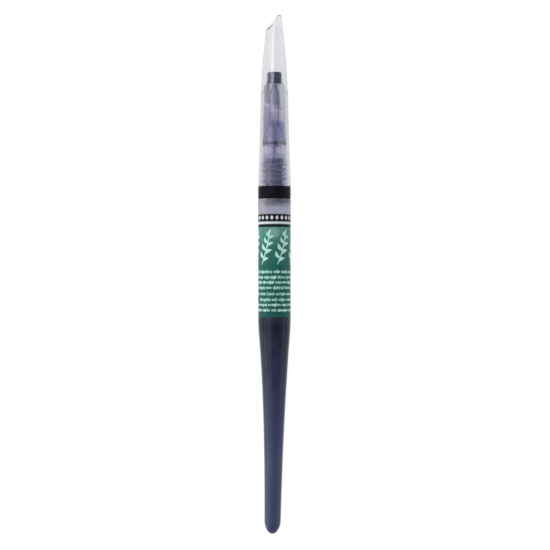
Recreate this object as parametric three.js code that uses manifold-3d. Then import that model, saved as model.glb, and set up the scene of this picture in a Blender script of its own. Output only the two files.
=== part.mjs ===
// A refillable brush pen, capped and lying on a desk: a soft squeezable barrel of ink with a
// threaded neck, a black collar, a screw-on head that carries the brush, and a long push-on cap.
// Millimetres, +Z up. The pen's axis runs along +Y, from the round tail to the slanted cap end.
// The origin is on the desk, below the middle of the pen's length.
import * as THREE from "three";
import { mergeVertices } from "three/addons/utils/BufferGeometryUtils.js";
import Module from "manifold-3d";

const wasm = await Module();
wasm.setup();

// ---- Driving dimensions ------------------------------------------------------------------

// Lengths along the axis, from the tail to the cap end.
const TAIL_LENGTH = 73.2; // tail tip to the rear edge of the label
const LABEL_LENGTH = 34.6;
const WINDOW_LENGTH = 5.2; // bare barrel between the label and the shoulder
const COLLAR_LENGTH = 4;
const CAP_LENGTH = 57.8;

// Barrel.
const BARREL_R = 5.5;
const BARREL_WALL = 0.8;
const TAIL_END_R = 2.75;
const TAIL_END_LENGTH = 4.7; // the tail closes in half an ellipse of this length
const LABEL_RECESS = 0.12; // depth of the band that holds the label
const LABEL_THICKNESS = 0.1;
const INK_LENGTH = 100; // tail tip to the top of the ink

// Neck and its thread. The neck's radii go in from the barrel's.
const SHOULDER_WIDTH = 1.65; // barrel radius less thread crest radius
const NECK_LENGTH = 13.6;
const NECK_LAND = 4.9; // plain stretch that carries the collar
const THREAD_PITCH = 1.6;
const THREAD_DEPTH = 0.55;
const THREAD_ROOT_WIDTH = 1.0;
const THREAD_CREST_WIDTH = 0.4;
const THREAD_RIM_GAP = 0.9; // from the last full thread's middle to the neck's rim
const NECK_WALL = 0.55; // under the thread

// Head.
const SECTION_SOCKET = 3; // depth of the socket that takes the nozzle
const SECTION_FRONT_WALL = 1.15; // round that socket
const NOZZLE_LENGTH = 11.3; // from the section's front face to the nozzle's mouth
const NOZZLE_FLANGE = 0.9;
const NOZZLE_FLANGE_LIP = 0.15; // how far the flange stands out past the section's front
const NOZZLE_LEDGE = 0.7; // width of the flange's front face, round the cone
const NOZZLE_MOUTH_WALL = 0.6; // round the ferrule
const FERRULE_LENGTH = 5;
const FERRULE_WALL = 0.25;
const TUFT_ROOT_R = 1.55;
const TUFT_BELLY_R = 1.8;
const TUFT_LENGTH = 12; // free length, past the nozzle's mouth
const FEED_FLANGE = 1;
const FEED_TUBE_R = 1.05;
const SPIKE_R = 0.95;
const SPIKE_LENGTH = 12.9;
const WICK_R = 0.45;
const WICK_REACH = 1; // how far the wick stands out of the spike

// Neck plug.
const PLUG_FLANGE = 1.2;
const PLUG_FLANGE_LIP = 0.75; // how far the snap flange stands out past the neck's bore

// Cap.
const CAP_WALL = 0.7; // at the rim and over the section
const CAP_SLEEVE_WALL = 0.95; // over the inner cap
const CAP_NOSE_WALL = 0.75;
const CAP_STEP = 0.13; // small step down in the outside, at the root of the nose
const CAP_TIP_R = 2.45;
const CUT_DROP = 4.9; // how far the slanted cut comes down the short side
const CUT_ANGLE = THREE.MathUtils.degToRad(47.6); // between the cut and the pen's cross-section
const SNAP_BEAD = 0.14; // height of the section's bead that holds the cap

// Inner cap, from its mouth to its roof.
const INNER_WALL = 0.5;
const INNER_FLANGE = 0.8;
const INNER_FLANGE_LIP = 0.25;
const INNER_TAPER = 0.35; // how much thinner the sleeve is at its shoulder than at its mouth
const INNER_CROWN_LENGTH = 2.9; // the narrow crown over the brush's point
const INNER_SHOULDER_LENGTH = 2; // from the crown down to the full sleeve
const INNER_SHOULDER_LEDGE = 0.5; // width of the ledge half way down that shoulder
const ROOF = 0.6;

// Clearances.
const FACE_GAP = 0.1; // between faces that bear on each other
const FIT = 0.05; // radial, on what is pressed or glued in
const RUNNING = 0.15; // radial, on what slides or turns, and on the thread's flanks
const CAP_CLEARANCE = 0.22; // radial, between the section and the cap
const SEAT_GAP = 0.3; // end float of the pieces inside the head
const POINT_GAP = 0.6; // from the brush's point to the inner cap's roof

// Every round is a prism whose flats lie on the stated radius, with a flat at the bottom.
const SIDES = 32;
const FLAT = 1 / Math.cos(Math.PI / SIDES);

// ---- Stations along the axis, measured from the tail tip -----------------------------------

const labelRear = TAIL_LENGTH;
const labelFront = labelRear + LABEL_LENGTH;
const shoulder = labelFront + WINDOW_LENGTH;
const collarRear = shoulder + FACE_GAP;
const collarFront = collarRear + COLLAR_LENGTH;
const headRear = collarFront + FACE_GAP;
const overallLength = headRear + CAP_LENGTH;
const neckRim = shoulder + NECK_LENGTH;
const landEnd = shoulder + NECK_LAND;
const feedFlangeRear = neckRim + SEAT_GAP;
const feedFlangeFront = feedFlangeRear + FEED_FLANGE;
const socketFloor = feedFlangeFront + FACE_GAP;
const sectionFront = socketFloor + SECTION_SOCKET;
const nozzleFlangeRear = sectionFront + FACE_GAP;
const nozzleFlangeFront = nozzleFlangeRear + NOZZLE_FLANGE;
const nozzleMouth = nozzleFlangeRear + NOZZLE_LENGTH;
const ferruleFront = nozzleMouth - 2 * FACE_GAP;
const ferruleRear = ferruleFront - FERRULE_LENGTH;
const ferruleSeat = ferruleRear - 2 * FACE_GAP;
const tuftRear = ferruleRear + 2 * FACE_GAP;
const tuftPoint = nozzleMouth + TUFT_LENGTH;
const feedTubeFront = ferruleSeat - SEAT_GAP;
const spikeRear = feedFlangeRear - SPIKE_LENGTH;
const innerRoof = tuftPoint + POINT_GAP;
const innerTop = innerRoof + ROOF;
const innerMouth = nozzleFlangeFront + FACE_GAP;
const innerFlangeFront = innerMouth + INNER_FLANGE;
const crownBase = innerTop - INNER_CROWN_LENGTH;
const sleeveTop = crownBase - INNER_SHOULDER_LENGTH;
const capStep = sleeveTop - INNER_SHOULDER_LENGTH;

// ---- Radii that follow from them -----------------------------------------------------------

const threadCrestR = BARREL_R - SHOULDER_WIDTH;
const threadRootR = threadCrestR - THREAD_DEPTH;
const neckBoreR = threadRootR - NECK_WALL;
const plugR = neckBoreR - FIT;
const plugHoleR = SPIKE_R + RUNNING;
const nutMinorR = threadRootR + RUNNING;
const nutMajorR = threadCrestR + RUNNING;
const feedFlangeR = nutMinorR - 2 * FIT;
const spigotR = threadRootR - THREAD_DEPTH - RUNNING;
const sectionFrontR = spigotR + FIT + SECTION_FRONT_WALL;
const nozzleFlangeR = sectionFrontR + NOZZLE_FLANGE_LIP;
const nozzleBaseR = nozzleFlangeR - NOZZLE_LEDGE;
const feedBoreR = WICK_R + 2 * FIT;
const nozzleBoreR = FEED_TUBE_R + RUNNING;
const ferruleR = TUFT_ROOT_R + FIT + FERRULE_WALL;
const ferruleSocketR = ferruleR + FIT;
const nozzleMouthR = ferruleSocketR + NOZZLE_MOUTH_WALL;
const sleeveMouthR = nozzleBaseR + 2 * FIT;
const crownR = TUFT_BELLY_R + RUNNING + INNER_WALL;
const sleeveR = sleeveMouthR + INNER_WALL;
const sleeveTopR = sleeveR - INNER_TAPER;
const innerFlangeR = sleeveR + INNER_FLANGE_LIP;
const capSeatR = innerFlangeR + RUNNING + CAP_WALL;
const capStepR = sleeveTopR + RUNNING + CAP_SLEEVE_WALL;

// ---- Helpers -------------------------------------------------------------------------------

// Outlines are lists of [radius, station]. They go up the outside and down the inside.

function mesh(name, geometry, look) {
  const made = new THREE.Mesh(geometry, new THREE.MeshStandardMaterial(look));
  made.name = name;
  return made;
}

// The solid that an outline sweeps round the axis. An outline that leaves the axis is closed.
function turned(outline) {
  const ends = [outline[0], outline[outline.length - 1]];
  const closed = ends.every(([r]) => r === 0) ? outline : [...outline, outline[0]];
  const points = closed.map(([r, station]) => new THREE.Vector2(r * FLAT, station));
  return new THREE.LatheGeometry(points, SIDES, Math.PI / SIDES);
}

function curvePoints(curve, pieces) {
  return curve.getPoints(pieces).map((p) => [p.x, p.y]);
}

function bezier(pieces, ...corners) {
  const [a, b, c, d] = corners.map(([r, station]) => new THREE.Vector2(r, station));
  return curvePoints(new THREE.CubicBezierCurve(a, b, c, d), pieces);
}

function smoothThrough(pieces, ...points) {
  return curvePoints(new THREE.SplineCurve(points.map((p) => new THREE.Vector2(...p))), pieces);
}

// The radius of an outline, rising along the axis, at one station.
function radiusAt(outline, station) {
  const i = outline.findIndex(([, s]) => s >= station);
  const [[r0, s0], [r1, s1]] = [outline[i - 1], outline[i]];
  return r0 + ((r1 - r0) * (station - s0)) / (s1 - s0);
}

function solid(geometry) {
  const bare = geometry.index ? geometry.toNonIndexed() : geometry.clone();
  bare.deleteAttribute("normal");
  bare.deleteAttribute("uv");
  const merged = mergeVertices(bare, 1e-4);
  return new wasm.Manifold(
    new wasm.Mesh({
      numProp: 3,
      vertProperties: merged.attributes.position.array,
      triVerts: new Uint32Array(merged.index.array),
    }),
  );
}

function geometryOf(made) {
  const { numVert, numProp, vertProperties, triVerts } = made.getMesh();
  const positions = new Float32Array(numVert * 3);
  for (let i = 0; i < numVert; i++) {
    positions.set(vertProperties.subarray(i * numProp, i * numProp + 3), i * 3);
  }
  const geometry = new THREE.BufferGeometry();
  geometry.setAttribute("position", new THREE.BufferAttribute(positions, 3));
  geometry.setIndex(new THREE.BufferAttribute(triVerts, 1));
  geometry.computeVertexNormals();
  return geometry;
}

// A right-handed screw ridge between two stations, grown by `grow` on every side. Its middle
// line passes the same points whatever its length, so a ridge and a grown copy always mesh.
function screwRidge({ from, to, grow, fade }) {
  const step = (2 * Math.PI) / SIDES;
  const rise = THREAD_PITCH / SIDES;
  const first = Math.ceil((from - shoulder) / rise);
  const last = Math.floor((to - shoulder) / rise);
  const sink = 0.2 + grow; // how far the ridge goes into the wall that it stands on
  const positions = [];
  for (let k = first; k <= last; k++) {
    const angle = Math.PI / SIDES + k * step;
    const middle = shoulder + k * rise;
    const fromEnd = Math.min(k - first, last - k);
    const height = fade ? Math.min(1, fromEnd / fade) : 1;
    const rootR = (threadRootR - sink) * FLAT;
    const crestR = (threadRootR + THREAD_DEPTH * height - (1 - height) * sink * 0.5 + grow) * FLAT;
    const corners = [
      [rootR, -THREAD_ROOT_WIDTH / 2 - grow],
      [crestR, -THREAD_CREST_WIDTH / 2 - grow],
      [crestR, THREAD_CREST_WIDTH / 2 + grow],
      [rootR, THREAD_ROOT_WIDTH / 2 + grow],
    ];
    for (const [r, along] of corners) {
      positions.push(r * Math.sin(angle), middle + along, r * Math.cos(angle));
    }
  }
  const index = [];
  const quad = (a, b, c, d) => index.push(a, b, c, a, c, d);
  for (let k = 0; k < last - first; k++) {
    for (let side = 0; side < 4; side++) {
      const next = (side + 1) % 4;
      quad(4 * k + side, 4 * k + 4 + side, 4 * k + 4 + next, 4 * k + next);
    }
  }
  const end = 4 * (last - first);
  quad(0, 1, 2, 3);
  quad(end + 3, end + 2, end + 1, end);
  const geometry = new THREE.BufferGeometry();
  geometry.setAttribute("position", new THREE.Float32BufferAttribute(positions, 3));
  geometry.setIndex(index);
  return geometry;
}

// ---- Barrel --------------------------------------------------------------------------------

// The barrel's outside from the tail tip to the label, moved in by `inset`.
function tailOutline(inset) {
  const endR = TAIL_END_R - inset;
  const endLength = TAIL_END_LENGTH - inset;
  const pieces = 5;
  const end = [];
  for (let i = 0; i <= pieces; i++) {
    const turn = (Math.PI / 2) * (i / pieces);
    end.push([i ? endR * Math.sin(turn) : 0, TAIL_END_LENGTH - endLength * Math.cos(turn)]);
  }
  const swell = TAIL_LENGTH - TAIL_END_LENGTH;
  const fullR = BARREL_R - inset;
  const turnIn = TAIL_END_LENGTH + swell * 0.92; // where the taper starts to turn into the barrel
  const turnInR = fullR - 0.22;
  const taper = bezier(
    7,
    [endR, TAIL_END_LENGTH],
    [endR + 0.3, TAIL_END_LENGTH + swell * 0.37],
    [endR + (turnInR - endR) * 0.44, TAIL_END_LENGTH + swell * 0.66],
    [turnInR, turnIn],
  );
  const blend = bezier(
    3,
    [turnInR, turnIn],
    [fullR - 0.06, turnIn + 2.2],
    [fullR, TAIL_LENGTH - 1.6],
    [fullR, TAIL_LENGTH - 0.4],
  );
  return [...end, ...taper.slice(1), ...blend.slice(1)];
}

function reservoir() {
  const recessR = BARREL_R - LABEL_RECESS;
  const boreR = BARREL_R - BARREL_WALL;
  const shoulderFloor = shoulder - BARREL_WALL;
  const body = turned([
    ...tailOutline(0),
    [BARREL_R, labelRear],
    [recessR, labelRear],
    [recessR, labelFront],
    [BARREL_R, labelFront],
    [BARREL_R, shoulder - 0.3],
    [BARREL_R - 0.3, shoulder],
    [threadCrestR, shoulder],
    [threadCrestR, landEnd - 0.2],
    [threadRootR, landEnd],
    [threadRootR, neckRim - 0.2],
    [threadRootR - 0.2, neckRim],
    [neckBoreR, neckRim],
    [neckBoreR, shoulderFloor],
    [boreR - 0.8, shoulderFloor],
    [boreR - 0.2, shoulderFloor - 0.6],
    [boreR, shoulderFloor - 1.5],
    ...tailOutline(BARREL_WALL).reverse(),
  ]);
  const thread = screwRidge({
    from: landEnd + 0.5,
    to: neckRim - THREAD_RIM_GAP,
    grow: 0,
    fade: SIDES / 4,
  });
  return geometryOf(solid(body).add(solid(thread)));
}

function neckPlug() {
  const flangeFront = shoulder - BARREL_WALL - FACE_GAP;
  const flangeRear = flangeFront - PLUG_FLANGE;
  const flangeR = neckBoreR + PLUG_FLANGE_LIP;
  const front = neckRim - 2 * FACE_GAP;
  return turned([
    [plugHoleR, flangeRear],
    [flangeR - 0.5, flangeRear],
    [flangeR, flangeFront - 0.4],
    [flangeR, flangeFront],
    [plugR, flangeFront],
    [plugR, front - 0.3],
    [plugR - 0.3, front],
    [plugHoleR + 0.2, front],
    [plugHoleR, front - 0.2],
  ]);
}

function inkFill() {
  const inset = BARREL_WALL + FIT;
  return turned([
    ...tailOutline(inset),
    [BARREL_R - inset, INK_LENGTH],
    [BARREL_R - inset - 0.9, INK_LENGTH - 0.35],
    [0, INK_LENGTH - 0.55],
  ]);
}

function labelSleeve() {
  const innerR = BARREL_R - LABEL_THICKNESS;
  return turned([
    [BARREL_R, labelRear + FACE_GAP],
    [BARREL_R, labelFront - FACE_GAP],
    [innerR, labelFront - FACE_GAP],
    [innerR, labelRear + FACE_GAP],
  ]);
}

// ---- Collar --------------------------------------------------------------------------------

function sealCollar() {
  const boreR = threadCrestR + RUNNING;
  const edge = 0.15;
  return turned([
    [BARREL_R - edge, collarRear],
    [BARREL_R, collarRear + edge],
    [BARREL_R, collarFront - edge],
    [BARREL_R - edge, collarFront],
    [boreR, collarFront],
    [boreR, collarRear],
  ]);
}

// ---- Cap -----------------------------------------------------------------------------------

// The cap's outside, from its rim to the tip, before the slanted cut.
function capOutside() {
  const noseLength = overallLength - capStep;
  const noseR = capStepR - CAP_STEP;
  return [
    ...smoothThrough(6, [BARREL_R, headRear], [capSeatR, innerFlangeFront], [capStepR, capStep]),
    ...bezier(
      8,
      [noseR, capStep + 0.3],
      [noseR - 0.03, capStep + noseLength * 0.25],
      [noseR - 0.48, capStep + noseLength * 0.43],
      [CAP_TIP_R, overallLength],
    ),
  ];
}

// The cap's bore over the section, from its rim to the ledge that stops the inner cap.
function capMouth() {
  return capOutside()
    .filter(([, station]) => station < innerFlangeFront)
    .concat([[capSeatR, innerFlangeFront + FACE_GAP]])
    .map(([r, station]) => [r - CAP_WALL, station]);
}

// What the slanted cut takes away: a block standing on the cut's plane.
function cutBlock() {
  const reach = 8 * CAP_TIP_R;
  const block = new THREE.BoxGeometry(reach, reach, reach);
  block.translate(0, reach / 2, 0);
  block.rotateZ(CUT_ANGLE);
  const lowSideR = radiusAt(capOutside(), overallLength - CUT_DROP);
  block.translate(-lowSideR, overallLength - CUT_DROP, 0);
  return block;
}

function capShell() {
  const outside = capOutside();
  const noseBore = outside
    .filter(([, station]) => station > sleeveTop + RUNNING)
    .map(([r, station]) => [r - CAP_NOSE_WALL, station]);
  const shell = turned([
    ...outside,
    ...noseBore.reverse(),
    [sleeveTopR + RUNNING, sleeveTop + RUNNING],
    [sleeveR + RUNNING, innerFlangeFront + FACE_GAP],
    ...capMouth().reverse(),
  ]);
  return geometryOf(solid(shell).subtract(solid(cutBlock())));
}

function innerCap() {
  const ledgeStation = sleeveTop + INNER_SHOULDER_LENGTH * 0.45;
  const ledgeR = crownR + INNER_SHOULDER_LEDGE;
  const crownBoreR = crownR - INNER_WALL;
  return turned([
    [innerFlangeR, innerMouth],
    [innerFlangeR, innerFlangeFront],
    [sleeveR, innerFlangeFront],
    [sleeveTopR, sleeveTop - 0.3],
    [sleeveTopR - 0.3, sleeveTop],
    [ledgeR, ledgeStation],
    [crownR, crownBase],
    [crownR, innerTop - 0.25],
    [crownR - 0.25, innerTop],
    [0, innerTop],
    [0, innerRoof],
    [crownBoreR, innerRoof],
    [crownBoreR, crownBase - 0.3],
    [ledgeR - INNER_WALL, ledgeStation - 0.3],
    [sleeveTopR - INNER_WALL, sleeveTop - INNER_WALL],
    [sleeveMouthR, innerMouth],
  ]);
}

// ---- Head ----------------------------------------------------------------------------------

function section() {
  const mouthDepth = landEnd + SEAT_GAP;
  const bore = capMouth();
  const outerR = (station) => radiusAt(bore, station) - CAP_CLEARANCE;
  const beadStation = headRear + 2.4;
  const beadR = outerR(beadStation) + SNAP_BEAD;
  const body = turned([
    [outerR(headRear + 0.2) - 0.15, headRear],
    [outerR(headRear + 0.3), headRear + 0.2],
    [outerR(beadStation - 0.5), beadStation - 0.5],
    [beadR, beadStation - 0.2],
    [beadR, beadStation + 0.2],
    [outerR(beadStation + 0.5), beadStation + 0.5],
    [outerR(neckRim - 0.8), neckRim - 0.8],
    [outerR(neckRim) - 0.2, neckRim + 0.4],
    [sectionFrontR + 0.1, socketFloor + 0.2],
    [sectionFrontR, sectionFront - 0.15],
    [sectionFrontR - 0.15, sectionFront],
    [spigotR + FIT, sectionFront],
    [spigotR + FIT, socketFloor],
    [nutMinorR, socketFloor],
    [nutMinorR, mouthDepth],
    [nutMajorR, mouthDepth],
    [nutMajorR, headRear],
  ]);
  const groove = screwRidge({
    from: headRear - THREAD_PITCH,
    to: neckRim - THREAD_RIM_GAP + SEAT_GAP,
    grow: RUNNING,
    fade: 0,
  });
  return geometryOf(solid(body).subtract(solid(groove)));
}

function nozzle() {
  const spigotRear = socketFloor + SEAT_GAP;
  return turned([
    [spigotR - 0.2, spigotRear],
    [spigotR, spigotRear + 0.2],
    [spigotR, nozzleFlangeRear],
    [nozzleFlangeR - 0.15, nozzleFlangeRear],
    [nozzleFlangeR, nozzleFlangeRear + 0.15],
    [nozzleFlangeR, nozzleFlangeFront - 0.15],
    [nozzleFlangeR - 0.15, nozzleFlangeFront],
    [nozzleBaseR, nozzleFlangeFront],
    [nozzleMouthR, nozzleMouth - 0.6],
    [nozzleMouthR - 0.15, nozzleMouth - 0.2],
    [nozzleMouthR - 0.4, nozzleMouth],
    [ferruleSocketR, nozzleMouth],
    [ferruleSocketR, ferruleSeat],
    [nozzleBoreR, ferruleSeat],
    [nozzleBoreR, spigotRear],
  ]);
}

function ferrule() {
  const boreR = ferruleR - FERRULE_WALL;
  return turned([
    [ferruleR, ferruleRear],
    [ferruleR, ferruleFront],
    [boreR, ferruleFront],
    [boreR, ferruleRear],
  ]);
}

function bristleTuft() {
  const free = bezier(
    7,
    [TUFT_ROOT_R, ferruleFront],
    [TUFT_BELLY_R + 0.3, nozzleMouth + TUFT_LENGTH * 0.25],
    [TUFT_BELLY_R - 0.1, nozzleMouth + TUFT_LENGTH * 0.55],
    [0, tuftPoint],
  );
  return turned([[0, tuftRear], [TUFT_ROOT_R, tuftRear], ...free]);
}

function feed() {
  return turned([
    [SPIKE_R - 0.25, spikeRear],
    [SPIKE_R, spikeRear + 1.2],
    [SPIKE_R, feedFlangeRear],
    [feedFlangeR, feedFlangeRear],
    [feedFlangeR, feedFlangeFront],
    [FEED_TUBE_R, feedFlangeFront],
    [FEED_TUBE_R, feedTubeFront],
    [feedBoreR, feedTubeFront],
    [feedBoreR, spikeRear],
  ]);
}

function wick() {
  const rear = spikeRear - WICK_REACH;
  const front = tuftRear - FACE_GAP;
  return turned([
    [0, rear],
    [WICK_R, rear],
    [WICK_R, front],
    [0, front],
  ]);
}

// ---- Assembly ------------------------------------------------------------------------------

const looks = {
  clear: { color: 0xe9e9ee, roughness: 0.25, transparent: true, opacity: 0.45 },
  smoky: { color: 0xb4b6cc, roughness: 0.3, transparent: true, opacity: 0.5 },
  black: { color: 0x1b1a24, roughness: 0.35 },
  soft: { color: 0xa9adc0, roughness: 0.4, transparent: true, opacity: 0.55 },
  ink: { color: 0x262b42, roughness: 0.15 },
  green: { color: 0x2c6f63, roughness: 0.45 },
  bristle: { color: 0x4d5070, roughness: 0.5 },
  fibre: { color: 0x3a3d5c, roughness: 0.8 },
};

const barrelGroup = new THREE.Group();
barrelGroup.add(
  mesh("reservoir", reservoir(), looks.soft),
  mesh("neck_plug", neckPlug(), looks.smoky),
  mesh("ink_fill", inkFill(), looks.ink),
  mesh("label_sleeve", labelSleeve(), looks.green),
);

const headGroup = new THREE.Group();
headGroup.add(
  mesh("section", section(), looks.smoky),
  mesh("nozzle", nozzle(), looks.smoky),
  mesh("ferrule", ferrule(), looks.black),
  mesh("bristle_tuft", bristleTuft(), looks.bristle),
  mesh("feed", feed(), looks.smoky),
  mesh("wick", wick(), looks.fibre),
);

const capGroup = new THREE.Group();
capGroup.add(
  mesh("cap_shell", capShell(), looks.clear),
  mesh("inner_cap", innerCap(), looks.smoky),
);

const pen = new THREE.Group();
pen.add(barrelGroup, mesh("seal_collar", sealCollar(), looks.black), headGroup, capGroup);
pen.position.set(0, -overallLength / 2, BARREL_R);

export default pen;
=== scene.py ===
# The looks of a refillable brush pen, capped and lying on a pale surface, built round its CAD
# frame. Lengths below are millimetres unless a name says otherwise; the frame is in metres.
import math
import random

import bpy
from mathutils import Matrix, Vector


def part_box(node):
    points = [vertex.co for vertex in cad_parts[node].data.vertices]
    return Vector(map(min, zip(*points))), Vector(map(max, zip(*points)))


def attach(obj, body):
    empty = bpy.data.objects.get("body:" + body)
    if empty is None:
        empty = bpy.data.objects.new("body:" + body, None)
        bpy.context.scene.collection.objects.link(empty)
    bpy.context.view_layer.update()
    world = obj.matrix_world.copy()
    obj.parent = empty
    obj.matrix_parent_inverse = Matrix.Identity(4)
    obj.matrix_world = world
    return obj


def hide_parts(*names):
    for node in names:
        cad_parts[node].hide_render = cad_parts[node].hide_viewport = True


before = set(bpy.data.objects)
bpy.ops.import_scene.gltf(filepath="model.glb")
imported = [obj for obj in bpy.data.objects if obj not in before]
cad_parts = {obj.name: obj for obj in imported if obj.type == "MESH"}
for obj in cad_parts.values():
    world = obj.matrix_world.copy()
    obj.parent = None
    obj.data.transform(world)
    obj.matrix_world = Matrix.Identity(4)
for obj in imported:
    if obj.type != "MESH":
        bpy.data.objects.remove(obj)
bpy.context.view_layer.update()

MM = 0.001

# ---- Places and sizes that the CAD frame gives -----------

barrel_low, barrel_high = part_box("reservoir")
TAIL_Y = barrel_low[1]
AXIS_X = (barrel_low[0] + barrel_high[0]) / 2
AXIS_Z = (barrel_low[2] + barrel_high[2]) / 2


def span(node):
    """First and last station of a CAD node along the pen, from the tail tip."""
    low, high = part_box(node)
    return (low[1] - TAIL_Y) / MM, (high[1] - TAIL_Y) / MM


def width_r(node):
    """Radius of a CAD node at its widest."""
    low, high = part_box(node)
    return (high[0] - low[0]) / 2 / MM


BARREL_R = width_r("reservoir")
NECK_RIM = span("reservoir")[1]
LABEL_REAR, LABEL_FRONT = span("label_sleeve")
COLLAR_REAR, COLLAR_FRONT = span("seal_collar")
CAP_RIM, CAP_END = span("cap_shell")
INNER_MOUTH, INNER_TOP = span("inner_cap")
SECTION_REAR, SECTION_FRONT = span("section")
NOZZLE_REAR, NOZZLE_MOUTH = span("nozzle")
FERRULE_REAR, FERRULE_FRONT = span("ferrule")
TUFT_REAR, TUFT_POINT = span("bristle_tuft")
FEED_REAR, FEED_FRONT = span("feed")
WICK_REAR, WICK_FRONT = span("wick")
PLUG_REAR, PLUG_FRONT = span("neck_plug")
INK_TOP = span("ink_fill")[1]

# ---- Named sizes, the same as the CAD's ------------------

FACE_GAP = 0.1
FIT = 0.05
RUNNING = 0.15
CAP_CLEARANCE = 0.22
SEAT_GAP = 0.3
WALL = 0.8
TAIL_LENGTH = LABEL_REAR - FACE_GAP
TAIL_END_R = 2.75
TAIL_END_LENGTH = 4.7
LABEL_RECESS = 0.12
SHOULDER = COLLAR_REAR - FACE_GAP
SHOULDER_WIDTH = 1.65
NECK_LAND = 4.9
NECK_WALL = 0.55
THREAD_PITCH = 1.6
THREAD_DEPTH = 0.55
THREAD_ROOT_WIDTH = 1.0
THREAD_CREST_WIDTH = 0.4
THREAD_RIM_GAP = 0.9
THREAD_START_ANGLE = math.pi / 32
THREAD_CREST_R = BARREL_R - SHOULDER_WIDTH
THREAD_ROOT_R = THREAD_CREST_R - THREAD_DEPTH
LAND_END = SHOULDER + NECK_LAND
NECK_BORE_R = THREAD_ROOT_R - NECK_WALL
PLUG_HOLE_R = 1.1
NUT_MINOR_R = THREAD_ROOT_R + RUNNING
NUT_MAJOR_R = THREAD_CREST_R + RUNNING
SPIGOT_R = THREAD_ROOT_R - THREAD_DEPTH - RUNNING
SECTION_SOCKET = 3
SECTION_FRONT_WALL = 1.15
SNAP_BEAD = 0.14
NOZZLE_FLANGE = 0.9
NOZZLE_FLANGE_R = width_r("nozzle")
NOZZLE_BASE_R = NOZZLE_FLANGE_R - 0.7
NOZZLE_MOUTH_R = 2.5
NOZZLE_BORE_R = 1.2
FERRULE_SOCKET_R = 1.9
FERRULE_WALL = 0.25
FEED_FLANGE = 1
FEED_TUBE_R = 1.05
FEED_BORE_R = 0.55
SPIKE_R = 0.95
SPIKE_LENGTH = 12.9
TUFT_ROOT_R = 1.55
TUFT_BELLY_R = 1.8
INNER_FLANGE_R = width_r("inner_cap")
SLEEVE_R = INNER_FLANGE_R - 0.25
SLEEVE_TOP_R = SLEEVE_R - 0.35
CROWN_R = 2.45
INNER_WALL = 0.5
INNER_ROOF = 0.6
INNER_FLANGE_FRONT = INNER_MOUTH + 0.8
CROWN_BASE = INNER_TOP - 2.9
SLEEVE_TOP = CROWN_BASE - 2
CAP_WALL = 0.7
CAP_SLEEVE_WALL = 0.95
CAP_NOSE_WALL = 0.75
CAP_STEP = SLEEVE_TOP - 2
CAP_STEP_DROP = 0.13
CAP_SEAT_R = INNER_FLANGE_R + RUNNING + CAP_WALL
CAP_STEP_R = SLEEVE_TOP_R + RUNNING + CAP_SLEEVE_WALL
CAP_TIP_R = 2.45
CUT_ANGLE = math.radians(47.6)
CUT_DROP = 4.9

# ---- What only the looks need ----------------------------

TAIL_BOW = 0.68  # how far the tail tip stands to one side
BOW_LENGTH = 56  # the stretch that bends, from the tail tip
SIDES = 128
ON_AXIS = 1e-6  # a radius below this is a point on the axis
FINE_ROW = 0.1  # step along the axis where a thread is cut into a wall

# ---- Outlines --------------------------------------------


def bezier(pieces, a, b, c, d):
    """A cubic curve between a and d, cut into straight pieces."""
    points = []
    for i in range(pieces + 1):
        t = i / pieces
        s = 1 - t
        points.append(tuple(
            s ** 3 * a[k] + 3 * s * s * t * b[k] + 3 * s * t * t * c[k] + t ** 3 * d[k]
            for k in (0, 1)
        ))
    return points


def spline(pieces, *knots):
    """A Catmull-Rom curve through the knots."""
    padded = [knots[0], *knots, knots[-1]]
    points = []
    for i in range(pieces + 1):
        where = i / pieces * (len(knots) - 1)
        k = min(int(where), len(knots) - 2)
        t = where - k
        p0, p1, p2, p3 = padded[k:k + 4]
        points.append(tuple(
            0.5 * (2 * p1[n] + (p2[n] - p0[n]) * t
                   + (2 * p0[n] - 5 * p1[n] + 4 * p2[n] - p3[n]) * t * t
                   + (3 * p1[n] - p0[n] - 3 * p2[n] + p3[n]) * t ** 3)
            for n in (0, 1)
        ))
    return points


def softened(outline, closed):
    """Rounds each corner that carries a third number, its fillet."""
    count = len(outline)
    out = []
    for i, point in enumerate(outline):
        if len(point) < 3 or (not closed and i in (0, count - 1)):
            out.append(point[:2])
            continue
        here = Vector(point[:2])
        before = Vector(outline[i - 1][:2]) - here
        after = Vector(outline[(i + 1) % count][:2]) - here
        reach = min(point[2], before.length * 0.45, after.length * 0.45)
        a = here + before.normalized() * reach
        b = here + after.normalized() * reach
        for k in range(5):
            t = k / 4
            out.append(tuple(a * (1 - t) ** 2 + here * 2 * t * (1 - t) + b * t * t))
    return out


def tail_outline(inset):
    """The barrel's outside from the tail tip to the label, moved in by inset."""
    end_r = TAIL_END_R - inset
    end_length = TAIL_END_LENGTH - inset
    steps = 16
    end = []
    for i in range(steps + 1):
        turn = math.pi / 2 * i / steps
        end.append((end_r * math.sin(turn), TAIL_END_LENGTH - end_length * math.cos(turn)))
    end[0] = (0, end[0][1])
    swell = TAIL_LENGTH - TAIL_END_LENGTH
    full_r = BARREL_R - inset
    turn_in = TAIL_END_LENGTH + swell * 0.92  # where the taper starts to turn into the barrel
    turn_in_r = full_r - 0.22
    taper = bezier(
        28,
        (end_r, TAIL_END_LENGTH),
        (end_r + 0.3, TAIL_END_LENGTH + swell * 0.37),
        (end_r + (turn_in_r - end_r) * 0.44, TAIL_END_LENGTH + swell * 0.66),
        (turn_in_r, turn_in),
    )
    blend = bezier(
        8,
        (turn_in_r, turn_in),
        (full_r - 0.06, turn_in + 2.2),
        (full_r, TAIL_LENGTH - 1.6),
        (full_r, TAIL_LENGTH - 0.4),
    )
    return end + taper[1:] + blend[1:]


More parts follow.
